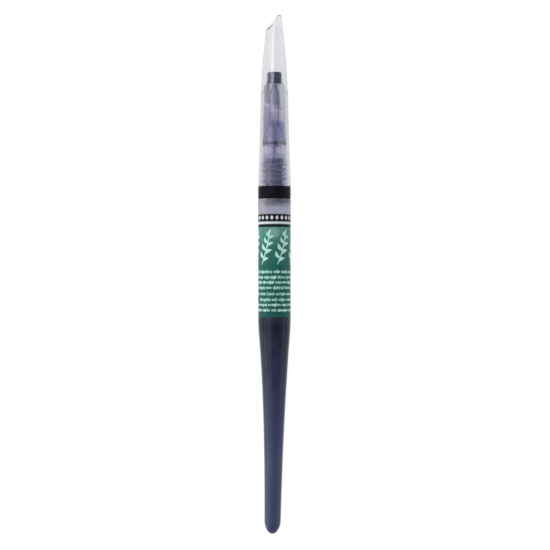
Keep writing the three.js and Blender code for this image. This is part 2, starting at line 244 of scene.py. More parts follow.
def cap_outside():
    """The cap's outside, from its rim to the tip, before the slanted cut."""
    nose = CAP_END - CAP_STEP
    nose_r = CAP_STEP_R - CAP_STEP_DROP
    skirt = spline(
        24, (BARREL_R, CAP_RIM), (CAP_SEAT_R, INNER_FLANGE_FRONT), (CAP_STEP_R, CAP_STEP))
    return skirt + bezier(
        36,
        (nose_r, CAP_STEP + 0.25),
        (nose_r - 0.03, CAP_STEP + nose * 0.25),
        (nose_r - 0.48, CAP_STEP + nose * 0.43),
        (CAP_TIP_R, CAP_END),
    )


def radius_at(outline, station):
    """The radius at one station of an outline that rises along the axis."""
    for (r0, s0), (r1, s1) in zip(outline, outline[1:]):
        if s0 <= station <= s1 and s1 > s0:
            return r0 + (r1 - r0) * (station - s0) / (s1 - s0)
    return outline[-1][0]


def thread_height(station, angle, grow, first, last):
    """How far a right-handed screw ridge stands out of its wall there."""
    winding = (station - SHOULDER) / THREAD_PITCH - (angle - THREAD_START_ANGLE) / (2 * math.pi)
    off = (winding + 0.5) % 1 - 0.5
    middle = station - off * THREAD_PITCH
    half_root = THREAD_ROOT_WIDTH / 2 + grow
    half_crest = THREAD_CREST_WIDTH / 2 + grow
    rise = (half_root - abs(off) * THREAD_PITCH) / (half_root - half_crest)
    rise = min(1, max(0, rise))
    rise = rise * rise * (3 - 2 * rise)
    run_in = 0.5
    fade = min(1, max(0, (middle - first) / run_in)) * min(1, max(0, (last - middle) / run_in))
    return THREAD_DEPTH * rise * fade


# ---- Meshes ----------------------------------------------


def finish_piece(name, verts, faces, body, material, replaces=(), sharp_deg=32):
    """Makes a shaded piece, hangs it on the body it rides on and hides the CAD parts it stands
    for.
    """
    mesh = mesh_from(name, verts, faces)
    for polygon in mesh.polygons:
        polygon.use_smooth = True
    mesh.set_sharp_from_angle(angle=math.radians(sharp_deg))
    piece = bpy.data.objects.new(name, mesh)
    bpy.context.scene.collection.objects.link(piece)
    mesh.materials.append(material)
    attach(piece, body)
    if replaces:
        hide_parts(*replaces)


def bow(station):
    """The soft barrel bends a little to one side towards its tail."""
    return -TAIL_BOW * max(0, 1 - station / BOW_LENGTH) ** 1.3


def place(r, station, angle):
    """The point in the frame, in metres; the angle starts at the top and goes towards +X."""
    return (
        AXIS_X + (bow(station) + r * math.sin(angle)) * MM,
        TAIL_Y + station * MM,
        AXIS_Z + r * math.cos(angle) * MM,
    )


def swept(outline, closed, shape=None, sides=SIDES):
    """Vertices and faces of an outline turned round the axis; shape moves single points."""
    verts = []
    faces = []
    rings = []
    for r, station in outline:
        if r < ON_AXIS:
            rings.append([len(verts)])
            verts.append(place(0, station, 0))
            continue
        rings.append(list(range(len(verts), len(verts) + sides)))
        for k in range(sides):
            angle = 2 * math.pi * k / sides
            there = shape(r, station, angle) if shape else (r, station)
            verts.append(place(*there, angle))
    pairs = list(zip(rings, rings[1:]))
    if closed:
        pairs.append((rings[-1], rings[0]))
    for a, b in pairs:
        for k in range(sides):
            n = (k + 1) % sides
            corners = (a[k % len(a)], b[k % len(b)], b[n % len(b)], a[n % len(a)])
            face = tuple(dict.fromkeys(corners))
            if len(face) > 2:
                faces.append(face)
    return verts, faces


def mesh_from(name, verts, faces):
    """A mesh whose faces are turned over, because the builders list them facing inwards."""
    mesh = bpy.data.meshes.new(name)
    mesh.from_pydata(verts, [], [face[::-1] for face in faces])
    mesh.validate()
    mesh.update()
    return mesh


def turned(name, outline, body, material, replaces=(), shape=None, sides=SIDES):
    """A piece made of an outline swept round the axis; an outline off the axis is closed."""
    closed = outline[0][0] > ON_AXIS or outline[-1][0] > ON_AXIS
    verts, faces = swept(softened(outline, closed), closed, shape, sides)
    finish_piece(name, verts, faces, body, material, replaces)


# ---- Materials -------------------------------------------


class Paint:
    """A material under construction: a Principled shader and the nodes that feed it."""

    def __init__(self, name):
        self.material = bpy.data.materials.new(name)
        self.material.use_nodes = True
        self.tree = self.material.node_tree
        self.shader = self.tree.nodes["Principled BSDF"]
        coords = self.add("ShaderNodeTexCoord")
        scale = self.add("ShaderNodeVectorMath", {"operation": "SCALE"}, Scale=1 / MM)
        self.link(coords.outputs["Object"], scale.inputs[0])
        self.place = scale.outputs[0]
        apart = self.add("ShaderNodeSeparateXYZ")
        self.link(self.place, apart.inputs[0])
        self.side = apart.outputs["X"]
        up = self.math("SUBTRACT", apart.outputs["Z"], AXIS_Z / MM)
        self.radius = self.distance(self.side, up)
        self.station = self.math("SUBTRACT", apart.outputs["Y"], TAIL_Y / MM)

    def add(self, kind, settings=None, **values):
        """A node with its settings, and values on its sockets, by name."""
        node = self.tree.nodes.new(kind)
        for key, value in (settings or {}).items():
            setattr(node, key, value)
        self.fill(node, values)
        return node

    def fill(self, node, values):
        for key, value in values.items():
            node.inputs[key.replace("_", " ")].default_value = value

    def link(self, a, b):
        self.tree.links.new(a, b)

    def set(self, **values):
        self.fill(self.shader, values)
        return self

    def noise(self, scale, detail=3, stretch=(1, 1, 1)):
        mapping = self.add("ShaderNodeMapping", Scale=stretch)
        self.link(self.place, mapping.inputs["Vector"])
        noise = self.add("ShaderNodeTexNoise", Scale=scale, Detail=detail)
        self.link(mapping.outputs[0], noise.inputs["Vector"])
        return noise.outputs["Fac"]

    def math(self, operation, a, b=None):
        """A sum on sockets or numbers."""
        node = self.add("ShaderNodeMath", {"operation": operation})
        for socket, value in zip(node.inputs, (a, b)):
            if value is None:
                continue
            if isinstance(value, (int, float)):
                socket.default_value = value
            else:
                self.link(value, socket)
        return node.outputs[0]

    def times(self, *factors):
        """The product of two or more sockets or numbers."""
        made = factors[0]
        for factor in factors[1:]:
            made = self.math("MULTIPLY", made, factor)
        return made

    def distance(self, a, b):
        return self.math("SQRT", self.math("ADD", self.times(a, a), self.times(b, b)))

    def curve(self, source, stops):
        """A value that runs straight from stop to stop: (source value, result)."""
        return self.ramp(source, [(at, (v, v, v)) for at, v in stops])

    def ramp(self, source, stops):
        """A colour that runs from stop to stop: (source value, colour)."""
        low, high = stops[0][0], stops[-1][0]
        spread = self.add("ShaderNodeMapRange", From_Min=low, From_Max=high)
        self.link(source, spread.inputs["Value"])
        ramp = self.add("ShaderNodeValToRGB")
        elements = ramp.color_ramp.elements
        while len(elements) < len(stops):
            elements.new(0.5)
        for element, (at, colour) in zip(elements, stops):
            element.position = (at - low) / (high - low)
            element.color = (*colour, 1)
        self.link(spread.outputs[0], ramp.inputs[0])
        return ramp.outputs["Color"]

    def mix(self, factor, a, b):
        """Colour a where the factor is 0 and colour b where it is 1."""
        node = self.add("ShaderNodeMix", {"data_type": "RGBA"})
        for socket, value in ((node.inputs[0], factor), (node.inputs[6], a), (node.inputs[7], b)):
            if isinstance(value, tuple):
                socket.default_value = (*value, 1)
            else:
                self.link(value, socket)
        return node.outputs[2]

    def colour(self, source):
        self.link(source, self.shader.inputs["Base Color"])
        return self

    def roughness(self, scale, low, high, stretch=(1, 1, 1), more=None):
        """Roughness that wanders between low and high, with more added where that is given."""
        spread = self.add(
            "ShaderNodeMapRange", From_Min=0.3, From_Max=0.7, To_Min=low, To_Max=high)
        self.link(self.noise(scale, 4, stretch), spread.inputs["Value"])
        rough = spread.outputs[0]
        if more:
            rough = self.math("ADD", rough, more)
        self.link(rough, self.shader.inputs["Roughness"])
        return self

    def absorb(self, r, g, b):
        """Takes light off inside the body: the share lost over each millimetre."""
        node = self.add(
            "ShaderNodeVolumeAbsorption", Color=(1 - r, 1 - g, 1 - b, 1), Density=1 / MM)
        out = self.tree.nodes["Material Output"]
        self.link(node.outputs[0], out.inputs["Volume"])
        return self

    def transmit(self, source):
        self.link(source, self.shader.inputs["Transmission Weight"])
        return self

    def bump(self, height, strength, distance):
        bump = self.add("ShaderNodeBump", Strength=strength, Distance=distance * MM)
        self.link(height, bump.inputs["Height"])
        self.link(bump.outputs[0], self.shader.inputs["Normal"])
        return self


def srgb(r, g, b):
    """A colour given as 0 to 255 values, as the linear values that a shader takes."""
    return tuple(
        v / 255 / 12.92 if v / 255 <= 0.04045 else ((v / 255 + 0.055) / 1.055) ** 2.4
        for v in (r, g, b)
    )


INK = srgb(40, 45, 78)
CLEAN = srgb(250, 250, 254)


def clear_plastic():
    """The cap: clear, faintly hazy moulding, greyer down the skirt, with fine marks along it."""
    paint = Paint("cap_clear")
    clean = paint.ramp(paint.station, [
        (117, (0.8, 0.79, 0.85)), (140, (0.81, 0.8, 0.86)), (149, (0.9, 0.9, 0.93)),
        (160, (0.96, 0.96, 0.97)),
    ])
    haze = paint.curve(paint.noise(0.25, 3, (1, 0.15, 1)), [(0.3, 0), (0.7, 0.5)])
    paint.colour(paint.mix(haze, clean, (0.9, 0.9, 0.92)))
    paint.set(Transmission_Weight=1.0, IOR=1.45).absorb(0.14, 0.14, 0.125)
    paint.roughness(1.2, 0.08, 0.16, (3, 0.2, 3))
    marks = paint.noise(1.6, 5, (4, 0.12, 4))
    return paint.bump(marks, 0.12, 0.05).material


def smoky_plastic(name, tone, film, clear, loss, ior):
    """Smoky moulding wetted by ink; film says, stop by stop, how dark it stands at a station."""
    paint = Paint(name)
    amount = paint.curve(paint.station, film)
    streaks = paint.curve(paint.noise(0.9, 3, (1.6, 0.12, 1.6)), [(0.35, 0.5), (0.65, 1)])
    base = paint.mix(paint.times(amount, streaks), tone, INK)
    paint.colour(base).set(Transmission_Weight=clear, IOR=ior).absorb(*loss)
    paint.roughness(1.5, 0.15, 0.3)
    return paint.bump(paint.noise(2.2, 4), 0.08, 0.05).material


def soft_barrel():
    """The squeezable barrel: milky and satin, its wall wetted below the ink's top; painted shade
    under the collar and painted highlights on the thread's crests.
    """
    paint = Paint("barrel_soft")
    tone = paint.ramp(paint.station, [
        (0, srgb(86, 91, 126)), (20, srgb(76, 82, 118)), (45, srgb(52, 58, 88)),
        (62, srgb(32, 35, 62)), (70, srgb(17, 20, 40)), (104, srgb(120, 124, 145)),
        (107, srgb(220, 221, 232)), (SHOULDER + 0.5, srgb(220, 221, 232)),
    ])
    cloud = paint.noise(0.35, 4, (1, 0.5, 1))
    wall = paint.mix(paint.curve(cloud, [(0.35, 0), (0.65, 0.25)]), tone, srgb(66, 70, 98))
    # painted shade along the collar's edge: darker in the corner of the shoulder, deepest on the
    # right, away from the lights, and in a ring all round under the collar
    corner = paint.curve(paint.station, [(SHOULDER - 1.8, 0), (SHOULDER - 1.1, 1)])
    shaded_side = paint.curve(paint.side, [(-1.5, 0), (1.5, 0.4), (4.5, 0.6)])
    ring = paint.curve(paint.station, [(SHOULDER - 0.3, 0), (SHOULDER + 0.2, 0.5)])
    collar_shade = paint.math("MAXIMUM", paint.times(corner, shaded_side), ring)
    wall = paint.mix(collar_shade, wall, srgb(60, 64, 92))
    # painted highlight: the neck thread's crests are painted white against bluish roots, standing
    # in for the gloss that lights up the crests
    crest_highlight = paint.curve(paint.radius, [
        (THREAD_ROOT_R, 0), (THREAD_ROOT_R + 0.15, 0.1), (THREAD_ROOT_R + 0.38, 1),
    ])
    neck = paint.mix(crest_highlight, srgb(208, 216, 246), srgb(255, 255, 255))
    on_neck = paint.curve(paint.station, [(SHOULDER, 0), (SHOULDER + 0.05, 1)])
    paint.colour(paint.mix(on_neck, wall, neck))
    paint.transmit(paint.curve(paint.station, [
        (0, 0.4), (25, 0.15), (98, 0.12), (104, 0.8), (SHOULDER, 0.8), (SHOULDER + 1, 0.6),
    ]))
    paint.set(IOR=1.2, Specular_IOR_Level=0.9).absorb(0.06, 0.06, 0.04)
    matt = paint.curve(paint.station, [(99, 0), (104, 0.22)])
    paint.roughness(0.8, 0.12, 0.22, (1, 0.4, 1), matt)
    return paint.bump(paint.noise(1.6, 3), 0.06, 0.06).material


def ink_material():
    """The ink in the barrel, a little paler where the tail is thin."""
    paint = Paint("ink_liquid")
    tone = paint.ramp(paint.station, [
        (0, srgb(58, 62, 88)), (40, srgb(44, 49, 70)), (73, srgb(22, 26, 40)),
        (100, srgb(18, 20, 34)),
    ])
    paint.colour(paint.mix(paint.noise(0.4, 2), tone, INK))
    paint.roughness(0.7, 0.1, 0.2)
    return paint.material


def black_plastic():
    """The collar: black moulding with a bluish cast and a faint turned grain."""
    paint = Paint("collar_black")
    tone = paint.ramp(paint.noise(1.2, 4), [(0.35, srgb(6, 6, 17)), (0.65, srgb(12, 11, 25))])
    paint.colour(tone).set(Specular_IOR_Level=0.08)
    paint.roughness(1.0, 0.35, 0.5, (1, 3, 1))
    return paint.bump(paint.noise(3.0, 3), 0.08, 0.04).material


def label_film():
    """The label's film: deep green, paler towards the top, where less ink stands behind it."""
    paint = Paint("label_green")
    tone = paint.ramp(paint.station, [
        (73, srgb(20, 82, 76)), (90, srgb(22, 94, 84)), (96, srgb(42, 106, 96)),
        (100, srgb(76, 134, 123)), (104, srgb(88, 144, 132)),
    ])
    weave = paint.curve(paint.noise(0.6, 4), [(0.35, 0), (0.7, 0.25)])
    # a pale round blot is printed above the sprigs
    up = paint.math("SUBTRACT", paint.station, BLOT)
    away = paint.distance(paint.side, up)
    blot = paint.curve(away, [(1.2, 0.42), (2.2, 0)])
    paint.colour(paint.mix(blot, paint.mix(weave, tone, srgb(52, 104, 95)), srgb(150, 196, 184)))
    paint.set(Specular_IOR_Level=0.15)
    paint.roughness(1.4, 0.38, 0.52)
    return paint.bump(paint.noise(5.0, 3), 0.06, 0.02).material


def print_ink(name, colour, worn):
    """Printing ink on the label, rubbed here and there."""
    paint = Paint(name)
    rub = paint.curve(paint.noise(2.2, 4), [(0.35, 0), (0.7, 1)])
    paint.colour(paint.mix(rub, colour, worn)).set(Specular_IOR_Level=0.12)
    paint.roughness(2.0, 0.4, 0.55)
    return paint.bump(paint.noise(9.0, 2), 0.05, 0.01).material


def bristle_material():
    """Wet synthetic filaments, clear inside the nozzle and a little bluer towards the point."""
    paint = Paint("bristle_fibre")
    streaks = paint.noise(3.5, 3, (1, 0.06, 1))
    along = paint.ramp(paint.station, [
        (NOZZLE_MOUTH - 6, srgb(244, 245, 252)), (NOZZLE_MOUTH - 3.6, srgb(246, 247, 252)),
        (NOZZLE_MOUTH - 3.2, srgb(254, 254, 255)), (NOZZLE_MOUTH + 1.6, srgb(254, 254, 255)),
        (NOZZLE_MOUTH + 2.6, srgb(236, 239, 248)), (TUFT_POINT - 2, srgb(232, 236, 246)),
        (TUFT_POINT, srgb(214, 218, 238)),
    ])
    pale = paint.curve(streaks, [(0.35, 0), (0.65, 0.7)])
    paint.colour(paint.mix(pale, along, srgb(252, 252, 254)))
    paint.transmit(paint.curve(paint.station, [
        (130, 1), (NOZZLE_MOUTH + 1.2, 1), (NOZZLE_MOUTH + 2.4, 0.9), (TUFT_POINT, 0.9),
    ]))
    paint.set(IOR=1.03)
    paint.roughness(2.0, 0.3, 0.5, (2, 0.2, 2))
    return paint.material


def fibre_wick():
    """The feed's core of wetted fibres, nearly clear."""
    paint = Paint("wick_fibre")
    strands = paint.noise(6.0, 3, (1, 0.1, 1))
    paint.colour(paint.ramp(strands, [(0.35, srgb(232, 235, 247)), (0.65, srgb(244, 246, 252))]))
    paint.set(Transmission_Weight=0.94, IOR=1.04)
    paint.roughness(3.0, 0.6, 0.85)
    return paint.bump(strands, 0.4, 0.05).material


# ---- Barrel ----------------------------------------------


def build_barrel():
    """The soft barrel in one piece with its neck, whose thread is raised out of fine rows."""
    bore_r = BARREL_R - WALL
    recess_r = BARREL_R - LABEL_RECESS
    label_end = LABEL_FRONT + FACE_GAP
    floor = SHOULDER - WALL
    threaded = NECK_RIM - 0.4 - LAND_END
    rows = int(threaded / FINE_ROW)
    neck = [(THREAD_ROOT_R, LAND_END + threaded * i / rows) for i in range(rows + 1)]
    seam = [(BARREL_R, LABEL_REAR - FACE_GAP, 0.05), (recess_r, LABEL_REAR - FACE_GAP)]
    outline = [
        *tail_outline(0),
        *seam,
        (recess_r, label_end),
        (BARREL_R, label_end, 0.05),
        (BARREL_R, SHOULDER, 0.5),
        (THREAD_CREST_R, SHOULDER, 0.1),
        (THREAD_CREST_R, LAND_END - 0.25, 0.1),
        *neck,
        (THREAD_ROOT_R, NECK_RIM, 0.2),
        (NECK_BORE_R, NECK_RIM, 0.1),
        (NECK_BORE_R, floor, 0.1),
        (bore_r, floor, 1.6),
        *reversed(tail_outline(WALL)),
    ]
    first, last = LAND_END + 0.5, NECK_RIM - THREAD_RIM_GAP
    tail = tail_outline(0)

    def shape(r, station, angle):
        if abs(r - THREAD_ROOT_R) < ON_AXIS and LAND_END < station < NECK_RIM - 0.3:
            return r + thread_height(station, angle, 0, first, last), station
        if station < LABEL_REAR and r > bore_r * 0.4:
            # the mould's parting line runs down both sides of the tail
            off = min(abs(angle - math.pi / 2), abs(angle - 3 * math.pi / 2)) * r
            ridge = 0.03 * math.exp(-(off / 0.16) ** 2)
            outside = radius_at(tail, station)
            if abs(r - outside) < 1e-3:
                return r + ridge * min(1, (BARREL_R - r + 0.02) / 0.1), station
        return r, station

    turned("reservoir_shell", outline, "barrel", soft_barrel(),
           ("reservoir",), shape)


def build_plug():
    flange_front = SHOULDER - WALL - FACE_GAP
    flange_r = width_r("neck_plug")
    plug_r = NECK_BORE_R - FIT
    material = smoky_plastic(
        "plug_smoky", srgb(212, 217, 236), [(SHOULDER + 0.4, 1.0), (SHOULDER + 1.5, 0.08)],
        0.93, (0.05, 0.05, 0.03), 1.15)
    turned("plug_moulding", [
        (PLUG_HOLE_R, PLUG_REAR, 0.1),
        (flange_r - 0.5, PLUG_REAR, 0.15),
        (flange_r, flange_front - 0.4, 0.15),
        (flange_r, flange_front, 0.08),
        (plug_r, flange_front, 0.05),
        (plug_r, PLUG_FRONT - 0.3, 0.1),
        (plug_r - 0.3, PLUG_FRONT, 0.1),
        (PLUG_HOLE_R + 0.2, PLUG_FRONT, 0.1),
        (PLUG_HOLE_R, PLUG_FRONT - 0.2, 0.1),
    ], "barrel", material, ("neck_plug",))


def build_ink():
    """The ink, with a meniscus at its top."""
    inset = WALL + FIT
    turned("ink_body", [
        *tail_outline(inset),
        (BARREL_R - inset, INK_TOP, 0.1),
        (BARREL_R - inset - 0.9, INK_TOP - 0.35, 0.5),
        (0, INK_TOP - 0.55),
    ], "barrel", ink_material(), ("ink_fill",))


# ---- Label -----------------------------------------------

PRINT_TOP = BARREL_R - 0.012
PRINT_UNDER = BARREL_R - 0.05
FILM_R = BARREL_R - 0.03
FILM_UNDER = BARREL_R - 0.1
BLACK_BAND = (LABEL_FRONT - 2.35, LABEL_FRONT)
WHITE_LINE = (LABEL_FRONT - 3.25, LABEL_FRONT - 2.55)
THIN_LINE = (LABEL_FRONT - 4.3, LABEL_FRONT - 3.4)
BLOT = LABEL_FRONT - 6.1
SPRIG_FOOT = LABEL_FRONT - 16.8
SPRIGS = 6
LOZENGES = 20
# rows of print, by their height above the label's rear edge; one of them is short
ROWS = (15.1, 13.3, 11.6, 9.8, 7.7, 5.8, 4.1, 2.3)
SHORT_ROW = 5
SHORT_ROW_HALF = 5.6
LONG_ROW_HALF = 0.44  # share of the way round
TICK_STEP = 0.44
WORD_GAP = 0.38


def film_ring(name, r_out, r_in, rear, front, material, replaces=()):
    """A thin ring of film or print round the barrel."""
    turned(name, [
        (r_out, rear, 0.02), (r_out, front, 0.02), (r_in, front), (r_in, rear),
    ], "barrel", material, replaces)


def wrapped_patch(verts, faces, rows):
    """Adds a closed thin patch: rows of (arc length round the barrel, station), left to right."""
    base = len(verts)
    width = len(rows[0])
    for r in (PRINT_TOP, PRINT_UNDER):
        for row in rows:
            for arc, station in row:
                verts.append(place(r, station, arc / BARREL_R))
    count = len(rows) * width

    def quad(*corners):
        faces.append(tuple(base + layer * count + i * width + k for i, k, layer in corners))

    last, edge = len(rows) - 1, width - 1
    for i in range(last):
        for k in range(edge):
            quad((i, k, 0), (i, k + 1, 0), (i + 1, k + 1, 0), (i + 1, k, 0))
            quad((i, k, 1), (i + 1, k, 1), (i + 1, k + 1, 1), (i, k + 1, 1))
        quad((i, 0, 0), (i + 1, 0, 0), (i + 1, 0, 1), (i, 0, 1))
        quad((i, edge, 0), (i, edge, 1), (i + 1, edge, 1), (i + 1, edge, 0))
    for k in range(edge):
        quad((0, k, 0), (0, k, 1), (0, k + 1, 1), (0, k + 1, 0))
        quad((last, k, 0), (last, k + 1, 0), (last, k + 1, 1), (last, k, 1))


def stroke(verts, faces, path, widest):
    """A brush stroke along a curved path, thin at both ends."""
    centre = spline(7 * len(path), *path)
    left, mid, right = [], [], []
    count = len(centre) - 1
    for i, (arc, station) in enumerate(centre):
        a = centre[max(0, i - 1)]
        b = centre[min(count, i + 1)]
        along = Vector((b[0] - a[0], b[1] - a[1])).normalized()
        t = i / count
        half = widest / 2 * max(0.06, math.sin(math.pi * (0.04 + 0.92 * t)) ** 0.3)
        half *= 1 - 0.35 * t
        left.append((arc - along.y * half, station + along.x * half))
        mid.append((arc, station))
        right.append((arc + along.y * half, station - along.x * half))
    wrapped_patch(verts, faces, [left, mid, right])


def tick(verts, faces, arc, station, width, height, lean):
    """A short upright stroke of print that leans a little."""
    rows = []
    for i in (0, 1):
        s = station + height * (0.5 - i)
        rows.append([
            (arc - width / 2 + width * k / 2 + lean * (0.5 - i), s) for k in range(3)
        ])
    wrapped_patch(verts, faces, rows)


def lozenge(verts, faces, arc, station, width, height):
    """A lozenge with its upper and lower points slightly blunt."""
    rows = [
        [(arc + half * side, station + up) for side in (-1, 0, 1)]
        for half, up in ((width * 0.06, height / 2), (width / 2, 0), (width * 0.06, -height / 2))
    ]
    wrapped_patch(verts, faces, rows)


def leaf(verts, faces, root, tip, width):
    """A pointed oval leaf, fullest a little below its middle, slightly curved."""
    run = tip - root
    across = Vector((-run.y, run.x)).normalized()
    rows = []
    steps = 12
    for i in range(steps + 1):
        t = i / steps
        half = width / 2 * max(0.03, math.sin(math.pi * t ** 0.85)) ** 0.8
        centre = root + run * t + across * 0.12 * run.length * math.sin(math.pi * t)
        rows.append([tuple(centre + across * half * side) for side in (1, 0, -1)])
    wrapped_patch(verts, faces, rows)


def sprigs(verts, faces, around):
    """Leafy sprigs that lean to the right, side by side all the way round the label."""
    for k in range(SPRIGS):
        foot = Vector(((k + 0.18) * around / SPRIGS - around / 2, SPRIG_FOOT))
        run = Vector((3.3, 11.0))
        stroke(verts, faces, [
            tuple(foot), tuple(foot + run * 0.35 + Vector((0.35, 0))),
            tuple(foot + run * 0.7 + Vector((0.25, 0))), tuple(foot + run * 0.93),
        ], 0.5)
        # where each leaf leaves the stem, on which side, and how long it is
        for where, side, length in (
            (0.1, 1, 2.5), (0.19, -1, 2.7), (0.33, 1, 2.8), (0.42, -1, 2.8),
            (0.56, 1, 2.5), (0.64, -1, 2.4), (0.78, 1, 2.0), (0.85, -1, 1.9),
        ):
            root = foot + run * where + Vector((0.3 * math.sin(math.pi * where), 0))
            turn = math.atan2(run.y, run.x) - side * math.radians(48)
            tip = root + Vector((math.cos(turn), math.sin(turn))) * length
            leaf(verts, faces, root, tip, 0.42 * length)
        leaf(verts, faces, foot + run * 0.88, foot + run * 1.07, 0.8)


def build_label():
    green = label_film()
    black = print_ink("label_black", srgb(6, 6, 14), srgb(16, 16, 26))
    white = print_ink("label_white", srgb(226, 228, 232), srgb(190, 194, 202))
    mint = print_ink("label_mint", srgb(196, 240, 230), srgb(150, 204, 194))
    film_ring("label_film", FILM_R, FILM_UNDER, LABEL_REAR, LABEL_FRONT, green,
              ("label_sleeve",))
    band_r = BARREL_R - 0.022
    band_under = FILM_UNDER + 0.02
    film_ring("label_black_band", band_r, band_under, *BLACK_BAND, black)
    film_ring("label_white_line", band_r, band_under, *WHITE_LINE, white)
    film_ring("label_thin_line", band_r, band_under, *THIN_LINE, black)

    verts, faces = [], []
    around = 2 * math.pi * BARREL_R
    middle = (BLACK_BAND[0] + BLACK_BAND[1]) / 2
    for k in range(LOZENGES):
        arc = around * (k + 0.5) / LOZENGES - around / 2
        lozenge(verts, faces, arc, middle, 1.15, 1.45)
    finish_piece("label_lozenges", verts, faces, "barrel", white)

    verts, faces = [], []
    sprigs(verts, faces, around)
    finish_piece("label_sprigs", verts, faces, "barrel", mint)

    verts, faces = [], []
    pick = random.Random(7)
    for k, up in enumerate(ROWS):
        station = LABEL_REAR + up
        half = SHORT_ROW_HALF if k == SHORT_ROW else around * LONG_ROW_HALF
        arc = -half + pick.uniform(0, 1.2)
        while arc < half:
            for _ in range(pick.randint(3, 10)):
                height = pick.choice((0.6, 0.62, 0.66, 0.95, 1.05))
                lift = pick.choice((0, 0, 0.1, -0.12)) if height > 0.9 else 0
                width = pick.choice((0.26, 0.32, 0.38))
                lean = pick.uniform(0.0, 0.12)
                tick(verts, faces, arc, station + lift, width, height, lean)
                arc += TICK_STEP
            arc += WORD_GAP
    finish_piece("label_rows", verts, faces, "barrel", mint)


# ---- Collar ----------------------------------------------


def build_collar():
    bore_r = THREAD_CREST_R + RUNNING
    turned("collar_ring", [
        (BARREL_R, COLLAR_REAR, 0.22),
        (BARREL_R, COLLAR_FRONT, 0.22),
        (bore_r, COLLAR_FRONT, 0.12),
        (bore_r, COLLAR_REAR, 0.12),
    ], "collar", black_plastic(), ("seal_collar",))


# ---- Head ------------------------------------------------


def build_section():
    """The grip, shaped to the cap's bore, with a snap bead outside and a nut thread inside."""
    inset = CAP_WALL + CAP_CLEARANCE
    outside = [(r - inset, s) for r, s in cap_outside() if s < INNER_FLANGE_FRONT]
    bead = SECTION_REAR + 2.4

    def outer(station):
        return radius_at(outside, station)

    socket_floor = SECTION_FRONT - SECTION_SOCKET
    mouth_depth = LAND_END + SEAT_GAP
    front_r = SPIGOT_R + FIT + SECTION_FRONT_WALL
    last = NECK_RIM - THREAD_RIM_GAP + SEAT_GAP
    rows = int((socket_floor - mouth_depth) / FINE_ROW)
    nut = [
        (NUT_MINOR_R, socket_floor - (socket_floor - mouth_depth) * i / rows)
        for i in range(rows + 1)
    ]
    outline = [
        (outer(SECTION_REAR + 0.2) - 0.05, SECTION_REAR, 0.15),
        (outer(bead - 0.6), bead - 0.6, 0.2),
        (outer(bead) + SNAP_BEAD, bead - 0.15, 0.2),
        (outer(bead) + SNAP_BEAD, bead + 0.15, 0.2),
        (outer(bead + 0.6), bead + 0.6, 0.2),
        (outer(NECK_RIM - 0.8), NECK_RIM - 0.8, 0.6),
        (outer(NECK_RIM) - 0.2, NECK_RIM + 0.4, 0.6),
        (front_r + 0.1, socket_floor + 0.2, 0.5),
        (front_r, SECTION_FRONT, 0.15),
        (SPIGOT_R + FIT, SECTION_FRONT, 0.05),
        (SPIGOT_R + FIT, socket_floor, 0.05),
        *nut,
        (NUT_MAJOR_R, mouth_depth, 0.05),
        (NUT_MAJOR_R, SECTION_REAR, 0.1),
    ]

    def shape(r, station, angle):
        if abs(r - NUT_MINOR_R) < ON_AXIS and mouth_depth + 0.02 < station < socket_floor - 0.02:
            return r + thread_height(station, angle, RUNNING, 0, last), station
        return r, station

    material = smoky_plastic(
        "section_smoky", srgb(246, 246, 252),
        [(SECTION_REAR - 0.2, 0.1), (SECTION_REAR + 1.3, 0.02), (NECK_RIM + 0.3, 0.03),
         (NECK_RIM + 1, 0.0), (SECTION_FRONT - 0.1, 0.0), (SECTION_FRONT + 0.2, 0.5)],
        0.98, (0.035, 0.038, 0.02), 1.08)
    turned("grip_section", outline, "head", material, ("section",), shape)


def build_nozzle():
    """The cone in front of the section, with its spigot behind and the ferrule's socket."""
    flange_rear = SECTION_FRONT + FACE_GAP
    flange_front = flange_rear + NOZZLE_FLANGE
    ferrule_seat = FERRULE_REAR - 2 * FACE_GAP
    material = smoky_plastic(
        "nozzle_smoky", CLEAN,
        [(SECTION_FRONT, 0.0), (SECTION_FRONT + 0.15, 1.1), (SECTION_FRONT + 0.9, 1.0),
         (SECTION_FRONT + 1.4, 0.0)],
        0.98, (0.02, 0.02, 0.012), 1.1)
    turned("nozzle_cone", [
        (SPIGOT_R - 0.1, NOZZLE_REAR, 0.1),
        (SPIGOT_R, NOZZLE_REAR + 0.2, 0.1),
        (SPIGOT_R, flange_rear, 0.05),
        (NOZZLE_FLANGE_R, flange_rear, 0.15),
        (NOZZLE_FLANGE_R, flange_front, 0.15),
        (NOZZLE_BASE_R, flange_front, 0.25),
        (NOZZLE_MOUTH_R, NOZZLE_MOUTH - 0.6, 0.5),
        (NOZZLE_MOUTH_R - 0.3, NOZZLE_MOUTH, 0.3),
        (FERRULE_SOCKET_R, NOZZLE_MOUTH, 0.1),
        (FERRULE_SOCKET_R, ferrule_seat, 0.05),
        (NOZZLE_BORE_R, ferrule_seat, 0.05),
        (NOZZLE_BORE_R, NOZZLE_REAR, 0.1),
    ], "head", material, ("nozzle",))


def build_ferrule():
    r = width_r("ferrule")
    material = smoky_plastic(
        "ferrule_smoky", CLEAN, [(FERRULE_REAR, 0.04), (FERRULE_FRONT, 0.04)],
        0.98, (0.02, 0.02, 0.012), 1.05)
    turned("ferrule_ring", [
        (r, FERRULE_REAR, 0.05), (r, FERRULE_FRONT, 0.1),
        (r - FERRULE_WALL, FERRULE_FRONT, 0.1), (r - FERRULE_WALL, FERRULE_REAR, 0.05),
    ], "head", material, ("ferrule",), sides=64)


def tuft_radius(station):
    """The brush's outline: round in the ferrule, fullest just past the mouth, then a point."""
    free = bezier(
        40,
        (TUFT_ROOT_R, FERRULE_FRONT),
        (TUFT_BELLY_R + 0.3, NOZZLE_MOUTH + 3),
        (TUFT_BELLY_R - 0.1, NOZZLE_MOUTH + 6.6),
        (0.02, TUFT_POINT),
    )
    if station <= FERRULE_FRONT:
        return TUFT_ROOT_R
    return radius_at(free, station)


